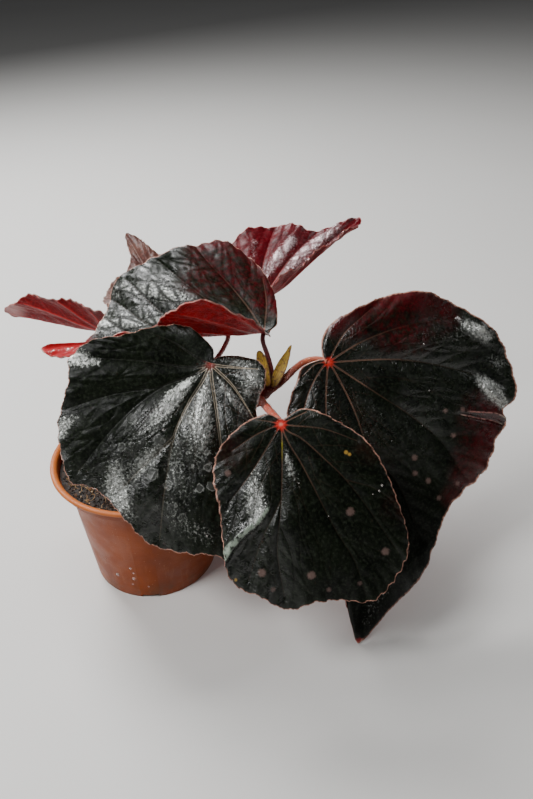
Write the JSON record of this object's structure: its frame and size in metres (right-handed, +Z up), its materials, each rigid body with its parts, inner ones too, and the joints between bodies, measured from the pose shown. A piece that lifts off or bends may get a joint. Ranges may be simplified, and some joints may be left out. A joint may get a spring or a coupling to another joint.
{
  "type": "potted black bat begonia",
  "caption": "Leaning begonia with broad, pointed, lopsided black and maroon leaves on red stalks, growing in soil in a round tapered nursery pot.",
  "frame": {"origin": "middle of the pot's underside, on the surface that it stands on", "axes": "+Z up; +X towards the side that the front cane leans to; -Y towards the front, which three broad leaves face"},
  "size_m": [0.3442, 0.2812, 0.2155],
  "materials": {
    "pot_plastic": "thin satin terracotta coloured plastic",
    "potting_soil": "damp dark potting mix with fibres and pale grains",
    "cane": "satin brown red stem skin with pale flecks",
    "leaf_stalk": "translucent red stem skin with pale flecks and fine hairs",
    "black_leaf": "glossy black green quilted upper face, crimson underside",
    "maroon_leaf": "glossy maroon quilted upper face, crimson underside",
    "stipule": "papery olive with brown mottling"
  },
  "bodies": {
    "root": {"pot": "pot_plastic", "soil": "potting_soil", "cane_front": "cane", "cane_back": "cane", "stalk_front_left": "leaf_stalk", "blade_front_left": "black_leaf", "stalk_front": "leaf_stalk", "blade_front": "black_leaf", "stalk_right": "leaf_stalk", "blade_right": "black_leaf", "stalk_top": "leaf_stalk", "blade_top": "black_leaf", "stalk_back_right": "leaf_stalk", "blade_back_right": "maroon_leaf", "stalk_far_left": "leaf_stalk", "blade_far_left": "maroon_leaf", "stalk_back": "leaf_stalk", "blade_back": "maroon_leaf", "stipule_left": "stipule", "stipule_right": "stipule"}
  },
  "joints": []
}
